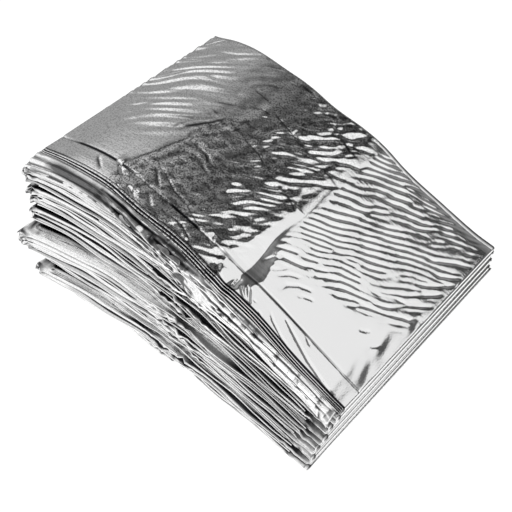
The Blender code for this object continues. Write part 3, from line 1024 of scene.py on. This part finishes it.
def trough_depth(table, x, y):
    """How far a table's troughs lower the sheet. Where troughs meet, the deeper one shows."""
    total = np.zeros(x.shape)
    for half_width, depth, line in table:
        places = np.array(line, float).reshape(-1, 2) * MM
        margin = 4 * half_width * MM
        low, high = places.min(axis=0) - margin, places.max(axis=0) + margin
        near = (x > low[0]) & (x < high[0]) & (y > low[1]) & (y < high[1])
        at_x, at_y = x[near], y[near]
        closest = np.full(at_x.shape, 1.0)
        ends = np.zeros(at_x.shape)
        run = length_along(places)
        for i, (start, way) in enumerate(zip(places[:-1], np.diff(places, axis=0))):
            off_x, off_y = at_x - start[0], at_y - start[1]
            share = np.clip((off_x * way[0] + off_y * way[1]) / (way @ way), 0.0, 1.0)
            away = np.hypot(off_x - share * way[0], off_y - share * way[1])
            better = away < closest
            closest[better] = away[better]
            along = (run[i] + share * (run[i + 1] - run[i])) / run[-1]
            ends[better] = along[better]
        taper = 0.25 + 0.75 * ease(-0.05, 0.25, ends) * ease(1.05, 0.8, ends)
        cut = depth * MM * taper * np.exp(-((closest / (half_width * MM)) ** 2))
        total[near] = np.maximum(total[near], cut)
    return total


# ---- the top sheet's ripples and crumples ------------------------------------------------

PUSHED_ABOUT = 0.9 * MM  # how far the ripples' lines are bent
RIPPLE_DEPTH = 0.18 * MM
RIPPLE_SHARPNESS = 1.1
TIGHT_RIPPLE_DEPTH = 0.08 * MM
CRUMPLE_DEPTH = 0.15 * MM
STREAK_DEPTH = 0.08 * MM
OPEN_RIPPLE_DEPTH = 0.14 * MM
DENT_DEPTH = 0.035 * MM
END_RIPPLE_DEPTH = 0.03 * MM


def pressed_ripples(x, y, bent_x, bent_y):
    """The pressed half's ripples: narrow valleys, steepest at the crease across the pack."""
    fan = 16 * MM * (1 - np.exp(-(bent_x - CROSS_CREASE) / (26 * MM)))
    ripple = waves("ripples of the pressed half", bent_x, bent_y - 0.45 * fan)
    valley = -np.exp(-RIPPLE_SHARPNESS * (1 + np.clip(ripple, -1.3, 2.5)))
    smooth_until = 40 * MM + 0.32 * (x - 95 * MM)
    strength = ease(94 * MM, 97 * MM, x) * ease(149 * MM, 145 * MM, x)
    strength = strength * ease(0, 9 * MM, y - smooth_until) * ease(25 * MM, 65 * MM, y)
    strength = strength * (1 + 0.9 * ease(128 * MM, 108 * MM, x))
    strength = strength * (1 - 0.5 * ease(132 * MM, 144 * MM, x))
    uneven = ease(-0.9, 0.5, waves("strength of the ripples", x, y))
    strength = strength * (0.45 + 0.65 * uneven)
    # A patch at the back has tighter ripples.
    patch = ((x - 118 * MM) / (12 * MM)) ** 2 + ((y - 116 * MM) / (4 * MM)) ** 2
    patch = np.exp(-(patch**2))
    tight = TIGHT_RIPPLE_DEPTH * waves("tight ripples", bent_x, bent_y) * patch
    return RIPPLE_DEPTH * strength * (1 - 0.8 * patch) * valley + tight


def pressed_dents(x, bent_x, bent_y):
    """The soft dents of the pressed half, and the ripples across its end."""
    dents = creases("dents of the pressed half", bent_x, bent_y) * ease(100 * MM, 110 * MM, x)
    end = waves("ripples of the pressed end", bent_x, bent_y) * ease(128 * MM, 142 * MM, x)
    return DENT_DEPTH * dents + END_RIPPLE_DEPTH * end


def open_crumples(x, y, bent_x, bent_y):
    """The crumples, streaks and ripples of the half with the open end, between its troughs."""
    crumple = creases("broad crumples of the top", bent_x, bent_y)
    crumple = crumple + 0.45 * creases("small crumples of the top", bent_x, bent_y)
    dull = ease(30 * MM, 42 * MM, x) * ease(92 * MM, 86 * MM, x)
    patches = ease(-0.2, 0.8, waves("strength of the streaks", x, y))
    streaks = waves("streaks of the dull film", bent_x, bent_y)
    streaks = streaks * ease(50 * MM, 65 * MM, x) * (0.35 + 0.65 * patches)
    ripples = waves("ripples of the open end", bent_x, bent_y)
    ripples = ripples * ease(48 * MM, 34 * MM, x) * ease(45 * MM, 74 * MM, y)
    return dull * (CRUMPLE_DEPTH * crumple + STREAK_DEPTH * streaks) + OPEN_RIPPLE_DEPTH * ripples


def far_edge_roll(x, y):
    """How far the far edge rolls over."""
    roll = 0.1 + 0.25 * ease(90 * MM, 97 * MM, x) + 0.25 * ease(108 * MM, 135 * MM, x)
    return roll * MM * ease(113 * MM, 122 * MM, y) ** 1.5


def top_wrinkles(x, y):
    """What creases and ripples add to the top's height."""
    bent_x = x + PUSHED_ABOUT * waves("film pushed along", x, y)
    bent_y = y + PUSHED_ABOUT * waves("film pushed across", x, y)
    total = pressed_ripples(x, y, bent_x, bent_y) + pressed_dents(x, bent_x, bent_y)
    total = total + open_crumples(x, y, bent_x, bent_y)
    total = total + long_crease_step(x, y) - far_edge_roll(x, y)
    return total - sum(share * trough_depth(table, x, y) for table, share in TROUGHS)


# ---- the loose film over the front of the upper panels -----------------------------------

# Along the pack: x, the heights of its upper and lower edge counted in panels, and its bulge.
WRAP = (
    (-1.5, 11.92, 10.75, 0.5),
    (10, 11.92, 10.85, 0.6),
    (25, 11.9, 10.85, 0.7),
    (38, 11.88, 10.8, 0.8),
    (45, 11.87, 10.5, 1.0),
    (52, 11.85, 10.0, 1.1),
    (60, 11.8, 9.45, 1.2),
    (68, 11.75, 9.0, 1.3),
    (78, 11.7, 8.6, 1.4),
    (85, 11.65, 8.1, 1.3),
    (92, 11.6, 8.2, 1.1),
    (100, 11.6, 8.7, 1.3),
    (110, 11.6, 8.7, 1.4),
    (118, 11.55, 8.3, 1.3),
    (126, 11.45, 8.0, 1.1),
    (135, 11.3, 7.7, 0.9),
    (142, 11.0, 7.4, 0.8),
    (148, 10.4, 6.9, 0.5),
)

# Troughs in that film: half width, depth, and a line of x and four times the panel count.
WRAP_TROUGHS = (
    (0.35, 0.5, (34, 47.0, 45, 46.8, 57, 46.2, 66, 46.2, 75, 46.2, 85, 46.0, 91, 45.8)),
    (0.35, 0.5, (42, 45.8, 50, 45.3, 57, 44.3)),
    (0.5, 0.6, (60, 45.0, 68, 45.2, 80, 45.2, 88, 44.8, 93, 43.6, 98, 44.2)),
    (0.35, 0.5, (84, 45.4, 105, 45.5, 118, 45.3, 130, 44.7, 140, 43.8, 147, 42.6)),
    (0.9, 0.6, (108, 34.6, 118, 33.4, 126, 32.2, 135, 31.0, 142, 29.8, 147, 28.2)),
    (0.45, 0.6, (84, 44.2, 106, 44.4, 118, 43.6, 126, 42.8, 134, 42.2, 147, 40.6)),
    (1.0, 0.6, (51, 43.6, 56, 42.5, 61, 41.5, 65, 39)),
    (0.8, 0.5, (43, 44, 47, 43)),
    (0.8, 0.5, (64, 44, 66, 41)),
    (0.8, 0.6, (70, 44, 72.5, 40, 73, 38)),
    (0.7, 0.5, (76, 44, 77, 41, 75, 39)),
    (
        0.55, 0.6,
        (78, 43.4, 84, 42.6, 91, 41, 99, 41.5, 104, 41.2, 110, 40, 120, 39, 134, 38, 146, 36.8),
    ),
    (0.8, 0.5, (92, 41.5, 93.5, 37)),
    (0.8, 0.5, (97, 41.3, 94.5, 37)),
    (0.6, 0.3, (68, 37.5, 72, 38, 76, 37.4)),
    (0.6, 0.3, (76, 37.5, 80, 38, 84, 37)),
    (0.6, 0.4, (143, 35.5, 144, 31)),
    (0.6, 0.4, (138, 38, 136, 36.5)),
)

# Painted shade on that film: half width, darkness, and a line of x and four times the panel count.
WRAP_SHADE = (
    (0.85, 0.72, (7, 46.7, 14, 46.5, 24, 46.2, 34, 45.9, 42, 45.6)),
    (0.4, 0.75, (2, 44.7, 12, 44.5, 22, 44.2, 30, 43.8, 40, 43.2, 50, 42.6)),
    (0.7, 0.8, (60, 45.6, 63, 44.2)),
    (0.8, 0.8, (66, 45.4, 69, 43.6, 72, 42.2)),
    (0.35, 0.9, (62, 43.2, 66, 41.6, 70, 40.6)),
    (0.35, 0.9, (75, 43.8, 78, 41.6, 80, 39.8)),
    (0.6, 0.8, (85, 44.0, 88, 42.6)),
    (0.3, 0.9, (72, 39.6, 77, 38.2, 83, 37.2)),
    (0.3, 0.85, (54, 43.8, 58, 42.4, 62, 41.0)),
)

WRAP_STATIONS = 300
WRAP_POINTS = 60  # down the film
WRAP_INNER_STEP = 4  # of those, how many lie between two points of its inner side
WRAP_COUNT = 4  # to a panel, in the tables above
WRAP_THICKNESS = 1.2 * MM
WRAP_DROP = 0.5 * MM
WRAP_CLEARANCE = 0.3 * MM
WRAP_EDGE_BACK = 1.6 * MM
WRAP_DENT_DEPTH = 0.3 * MM
WRAP_FOLD_DEPTH = 0.32 * MM
WRAP_FOLDS = 3.6  # down its height
WRAP_CRUMPLE_SHARE = 0.12  # of the pack's crumples
WRAP_TROUGH_SHARE = 0.8  # of its troughs' depths above
WRAP_LEAST_OUT = 0.15 * MM
# the depth at which a trough's painted shade is full
WRAP_TROUGH_SHADE_AT = 0.42 * MM


def wrap_place(x, level):
    """The y and z of a place on the front of the pack, at a height counted in panels."""
    none = 0 * x[:, 0]
    heights = np.stack([sum(faces_of(row, x[:, 0], none)) / 2 for row in range(LEVELS)])
    edges = np.stack([front_edge(row, x[:, 0]) for row in range(LEVELS)])
    low = np.clip(np.floor(level).astype(int), 0, LEVELS - 2)
    share = level - low
    station = np.arange(len(x))[:, None]
    return (
        part[low, station] * (1 - share) + part[low + 1, station] * share
        for part in (edges, heights)
    )


def wrap_painted_shade(x, y, z, level, share, cut, folds):
    """The loose film's painted shade: in its troughs and folds, and where it tucks in."""
    troughs = np.clip(cut / WRAP_TROUGH_SHADE_AT, 0.0, 0.9) + 0.8 * folds
    shaded = np.minimum(2.2 * trough_depth(WRAP_SHADE, x, level * WRAP_COUNT * MM) / MM, 0.85)
    sharp = ease(0.45, 0.65, creases("dark folds of the wrap", x, 1.3 * z - y))
    sharp = 0.85 * sharp * bell(x, 74, 14, power=4)
    low = ease(0.9, 0.985, share) * (0.4 + 0.6 * ease(80 * MM, 92 * MM, x))
    dark = np.maximum(np.maximum(troughs, low), np.maximum(shaded, sharp))
    # Its closed edges get full painted shade.
    dark[:, (0, -1)] = 1.0
    return np.minimum(dark, 1.0)


def front_wrap(material):
    """A loose layer of film that covers the front of the upper panels, closed at both edges."""
    rng = np.random.default_rng(SEEDS["wrap"])
    at, upper, lower, proud = (np.array(part) for part in zip(*WRAP))
    x = np.linspace(at[0], at[-1], WRAP_STATIONS)
    upper, lower, proud = (smooth(at, part, x)[:, None] for part in (upper, lower, proud))
    share = np.linspace(0.0, 1.0, WRAP_POINTS)
    level = upper * (1 - share) + lower * share
    places = np.broadcast_to(x[:, None] * MM, level.shape)
    y, z = wrap_place(places, level)
    puff = np.sin(math.pi * share) ** 0.5
    out = proud * MM * puff + WRAP_DENT_DEPTH * puff * creases("dents of the wrap", places, z - y)
    out = out + crumpled("crumpled wrap", places, y, z) * puff * WRAP_CRUMPLE_SHARE
    sway = noise_line(rng, x * MM, 16 * MM, -0.2, 0.2)[:, None]
    folds = np.cos(2 * math.pi * (WRAP_FOLDS * share + sway))
    folded = (0.15 + 0.85 * ease(80, 58, x))[:, None] * puff
    out = out + WRAP_FOLD_DEPTH * folded * folds
    cut = trough_depth(WRAP_TROUGHS, places, level * WRAP_COUNT * MM)
    out = np.maximum(out - WRAP_TROUGH_SHARE * cut, WRAP_LEAST_OUT * puff) + WRAP_CLEARANCE
    # The film stands out square to the line from its lower to its upper edge.
    run_y, run_z = y[:, :1] - y[:, -1:], z[:, :1] - z[:, -1:]
    length = np.hypot(run_y, run_z)
    back = WRAP_EDGE_BACK * (1 - puff)
    outer = np.stack((places, y - run_z / length * out + back, z + run_y / length * out), axis=2)
    inner = outer[:, ::-1][:, 1:-1:WRAP_INNER_STEP] + np.array((0.0, WRAP_THICKNESS, -WRAP_DROP))
    ring = np.concatenate((outer, inner), axis=1)
    painted_shade = np.zeros(ring.shape[:2])
    dark = wrap_painted_shade(places, y, z, level, share, cut, folded * ease(-0.3, -0.95, folds))
    painted_shade[:, :WRAP_POINTS] = dark
    # The inner side is painted fully shaded.
    painted_shade[:, WRAP_POINTS:] = 1.0
    return film_object("front_wrap", ring, material, painted_shade)


# ---- the folded edges of the single layers -----------------------------------------------

FOLD_SIZES = {
    "Spacing": 1.1 * MM,
    "Thickness": 0.24 * MM,
    "Unevenness": 0.35,
    "Sway": 0.5 * MM,
    "Waves to a metre": 110.0,
    "Seed": 4.0,
}
FOLD_AROUND = 8  # points round a fold
BETWEEN_BEHIND = 0.2 * MM  # how far behind the nearer panel's front the folds between two lie
HALF_WAY_UP_OUT = 1.55 * MM  # how far in front of a panel's front the fold half way up it lies


def fold_nodes():
    """A tree that sweeps a thin, uneven fold of film along each curve."""
    tree = bpy.data.node_groups.new("fold_edges", "GeometryNodeTree")
    sockets = [("Geometry", "INPUT", "Geometry"), ("Geometry", "OUTPUT", "Geometry")]
    sockets += [(name, "INPUT", "Float") for name in FOLD_SIZES]
    sockets += [("Material", "INPUT", "Material")]
    for name, way, kind in sockets:
        tree.interface.new_socket(name, in_out=way, socket_type="NodeSocket" + kind)
    given = node(tree, "NodeGroupInput").outputs
    spaced = node(tree, "GeometryNodeResampleCurve", {
        "Curve": given["Geometry"], "Length": given["Spacing"],
    }, mode="LENGTH")
    sway = node(tree, "ShaderNodeTexNoise", {
        "Scale": given["Waves to a metre"], "W": given["Seed"], "Detail": 1.0,
    }, noise_dimensions="4D")
    centred = node(tree, "ShaderNodeVectorMath", {
        0: sway.outputs["Color"], 1: (0.5, 0.5, 0.5),
    }, operation="SUBTRACT")
    swayed = node(tree, "ShaderNodeVectorMath", {
        0: centred.outputs[0], "Scale": given["Sway"],
    }, operation="SCALE")
    moved = node(tree, "GeometryNodeSetPosition", {
        "Geometry": spaced.outputs["Curve"], "Offset": swayed.outputs[0],
    })
    spread = node(tree, "ShaderNodeMath", {0: given["Unevenness"], 1: 3.0}, operation="MULTIPLY")
    uneven = node(tree, "ShaderNodeMath", {
        0: sway.outputs["Fac"], 1: spread.outputs[0], 2: 0.5,
    }, operation="MULTIPLY_ADD")
    circle = node(tree, "GeometryNodeCurvePrimitiveCircle", {
        "Resolution": FOLD_AROUND, "Radius": given["Thickness"],
    })
    swept = node(tree, "GeometryNodeCurveToMesh", {
        "Curve": moved.outputs["Geometry"],
        "Profile Curve": circle.outputs["Curve"],
        "Scale": uneven.outputs[0],
        "Fill Caps": True,
    })
    rounded = node(tree, "GeometryNodeSetShadeSmooth", {"Geometry": swept.outputs["Mesh"]})
    real = node(tree, "GeometryNodeRealizeInstances", {"Geometry": rounded.outputs["Geometry"]})
    finish = node(tree, "GeometryNodeSetMaterial", {
        "Geometry": real.outputs["Geometry"], "Material": given["Material"],
    })
    node(tree, "NodeGroupOutput", {"Geometry": finish.outputs["Geometry"]})
    return tree


def fold_paths():
    """The lines of the folded edges: between the panels' fronts, and half way up each."""
    rng = np.random.default_rng(SEEDS["folds"])
    paths = []
    for level in range(1, TOP_LEVEL):
        for share in (0.0, 0.5):
            start = rng.uniform(1.0, 9.0) if share or level % 2 else rng.uniform(30.0, 50.0)
            end = rng.uniform(138.0, 147.0) if share else rng.uniform(52.0, 84.0)
            x = np.arange(start, end, 1.0) * MM
            low, high = faces_of(level, x, 0 * x)
            if share:
                y = front_edge(level, x) - HALF_WAY_UP_OUT
            else:
                y = np.minimum(front_edge(level, x), front_edge(level - 1, x)) + BETWEEN_BEHIND
            y = y + noise_line(rng, x, 20 * MM, -0.3, 0.3) * MM
            paths.append(np.stack((x, y, low + (high - low) * share), axis=1))
    return paths


def fold_edges(material):
    """Thin folds of single layers of film that show between the panels along the front."""
    line = bpy.data.curves.new("fold_lines", "CURVE")
    line.dimensions = "3D"
    for path in fold_paths():
        spline = line.splines.new("POLY")
        spline.points.add(len(path) - 1)
        places = np.hstack((path + PACK_TO_ROW, np.ones((len(path), 1))))
        spline.points.foreach_set("co", places.ravel().tolist())
    lines = placed("fold_lines", line)
    tree = fold_nodes()
    modifier = lines.modifiers.new("fold_edges", "NODES")
    modifier.node_group = tree
    given = {**FOLD_SIZES, "Material": material}
    for item in tree.interface.items_tree:
        if item.in_out == "INPUT" and item.name in given:
            modifier[item.identifier] = given[item.name]
    evaluated = lines.evaluated_get(bpy.context.evaluated_depsgraph_get())
    mesh = bpy.data.meshes.new_from_object(evaluated)
    mesh.name = "fold_edges"
    bpy.data.objects.remove(lines, do_unlink=True)
    turned_out(mesh)
    return placed("fold_edges", mesh)


# ---- light, floor and camera -------------------------------------------------------------

VIEW_AZIMUTH = 46.0
VIEW_ELEVATION = 46.4
VIEW_ROLL = -5.87
VIEW_DISTANCE = 369.45 * MM
VIEW_TARGET = (67.05 * MM, 66.0 * MM, 0.0)
LENS = 59.55
FRAME_WIDTH = 36.0
NEAREST_SEEN = 0.01

# Flat lights that face down: nearest and furthest corner, height and brightness.
SOFTBOXES = {
    "key_edge": ((0.155, -0.7), (0.185, 0.95), 1.2, 0.3),
    "key_rim": ((0.185, -0.7), (0.235, 0.95), 1.2, 0.72),
    "key_softbox": ((0.235, -0.7), (1.8, 0.95), 1.2, 0.8),
    "front_softbox": ((0.0, -3.0), (2.2, -0.75), 1.3, 1.0),
}

# How bright the room is, by direction: pairs of how far the direction points that way and a grey.
ROOM_ACROSS = ((-1.0, 0.38), (-0.4, 0.37), (-0.15, 0.18), (0.0, 0.08), (0.1, 0.055), (1.0, 0.06))
ROOM_DEEP = (
    (-1.0, 2.6), (-0.1, 2.6), (0.3, 2.5), (0.43, 1.0), (0.56, 1.0), (0.67, 0.35), (1.0, 0.3),
)
ROOM_LOW = ((-1.0, 1.06), (0.08, 1.04), (0.34, 0.36), (0.5, 0.34), (1.0, 0.2))
ROOM_LOW_ACROSS = ((-1.0, 1.0), (0.15, 1.0), (0.45, 0.45), (1.0, 0.45))
ROOM_LOW_HEIGHT = ((-1.0, 1.0), (0.58, 1.0), (0.74, 0.0), (1.0, 0.0))
FLOOR_HALF_WIDTH = 3.0
FLOOR_BELOW = 0.05 * MM  # the pack's lowest faces
FLOOR_BRIGHTNESS = 1.08
WHITE = (1.0, 1.0, 1.0, 1.0)


def camera():
    """The camera: in front of the pack, to its right and above it, a little rolled."""
    azimuth, elevation, roll = map(math.radians, (VIEW_AZIMUTH, VIEW_ELEVATION, VIEW_ROLL))
    back = Vector((
        math.sin(azimuth) * math.cos(elevation),
        -math.cos(azimuth) * math.cos(elevation),
        math.sin(elevation),
    ))
    level = Vector((math.cos(azimuth), math.sin(azimuth), 0.0))
    upright = back.cross(level)
    right = level * math.cos(roll) + upright * math.sin(roll)
    up = upright * math.cos(roll) - level * math.sin(roll)
    data = bpy.data.cameras.new("camera")
    data.lens = LENS
    data.sensor_width = FRAME_WIDTH
    data.clip_start = NEAREST_SEEN
    obj = placed("camera", data)
    obj.matrix_world = Matrix((right, up, back)).transposed().to_4x4()
    obj.location = Vector(VIEW_TARGET) + Vector(PACK_TO_ROW) + back * VIEW_DISTANCE
    bpy.context.scene.camera = obj


def softbox(name, low, high, height, brightness):
    """A flat light that faces down, from its nearest to its furthest corner."""
    data = bpy.data.lights.new(name, "AREA")
    data.shape = "RECTANGLE"
    data.size, data.size_y = high[0] - low[0], high[1] - low[1]
    data.energy = brightness * math.pi * data.size * data.size_y
    obj = placed(name, data)
    obj.location = ((low[0] + high[0]) / 2, (low[1] + high[1]) / 2, height)
    obj.visible_camera = False


def ramp(tree, source, stops):
    """A grey scale over one number, from its stops of number and grey."""
    low, high = stops[0][0], stops[-1][0]
    made = node(tree, "ShaderNodeValToRGB", {"Fac": spread_over(tree, source, low, high, 0.0, 1.0)})
    elements = made.color_ramp.elements
    elements.remove(elements[0])
    for i, (at, grey) in enumerate(stops):
        share = (at - low) / (high - low)
        element = elements[0] if i == 0 else elements.new(share)
        element.position = share
        element.color = (grey, grey, grey, 1.0)
    return made.outputs["Color"]


def surroundings():
    """A dim room, lighter overhead and low in front, that looks white behind the pack."""
    world = bpy.data.worlds.new("room")
    bpy.context.scene.world = world
    world.use_nodes = True
    tree = world.node_tree
    tree.nodes.clear()
    place = node(tree, "ShaderNodeTexCoord").outputs["Generated"]
    x, y, z = node(tree, "ShaderNodeSeparateXYZ", {0: place}).outputs
    overhead = {0: ramp(tree, x, ROOM_ACROSS), 1: ramp(tree, y, ROOM_DEEP)}
    overhead = node(tree, "ShaderNodeMath", overhead, operation="MULTIPLY").outputs[0]
    low = {0: ramp(tree, x, ROOM_LOW_ACROSS), 1: ramp(tree, y, ROOM_LOW)}
    low = node(tree, "ShaderNodeMath", low, operation="MULTIPLY").outputs[0]
    share = ramp(tree, z, ROOM_LOW_HEIGHT)
    grey = node(tree, "ShaderNodeMix", {0: share, 6: overhead, 7: low}, data_type="RGBA")
    dim = node(tree, "ShaderNodeBackground", {"Color": grey.outputs[2]})
    white = node(tree, "ShaderNodeBackground", {"Color": WHITE})
    seen = node(tree, "ShaderNodeLightPath").outputs["Is Camera Ray"]
    mix = node(tree, "ShaderNodeMixShader", {0: seen, 1: dim.outputs[0], 2: white.outputs[0]})
    node(tree, "ShaderNodeOutputWorld", {"Surface": mix.outputs[0]})


def floor():
    """An even white floor, just under the pack."""
    wide, low = FLOOR_HALF_WIDTH, -FLOOR_BELOW
    corners = [(-wide, -wide, low), (wide, -wide, low), (wide, wide, low), (-wide, wide, low)]
    mesh = bpy.data.meshes.new("floor")
    mesh.from_pydata(corners, [], [(0, 1, 2, 3)])
    material = bpy.data.materials.new("white_sweep")
    material.use_nodes = True
    shader = material.node_tree.nodes["Principled BSDF"]
    shader.inputs["Base Color"].default_value = (0.0, 0.0, 0.0, 1.0)
    shader.inputs["Roughness"].default_value = 1.0
    shader.inputs["Specular IOR Level"].default_value = 0.0
    shader.inputs["Emission Color"].default_value = WHITE
    shader.inputs["Emission Strength"].default_value = FLOOR_BRIGHTNESS
    mesh.materials.append(material)
    placed("floor", mesh)


camera()
surroundings()
floor()
for name, (low, high, height, brightness) in SOFTBOXES.items():
    softbox(name, low, high, height, brightness)
bpy.context.scene.view_settings.view_transform = "Standard"

film = film_finish()
strip = film_strip(film)
top = film_top(film)
wrap = front_wrap(film)
edges = fold_edges(film)
for piece in (strip, top, wrap, edges):
    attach(piece, "root")
    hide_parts(SOLID)
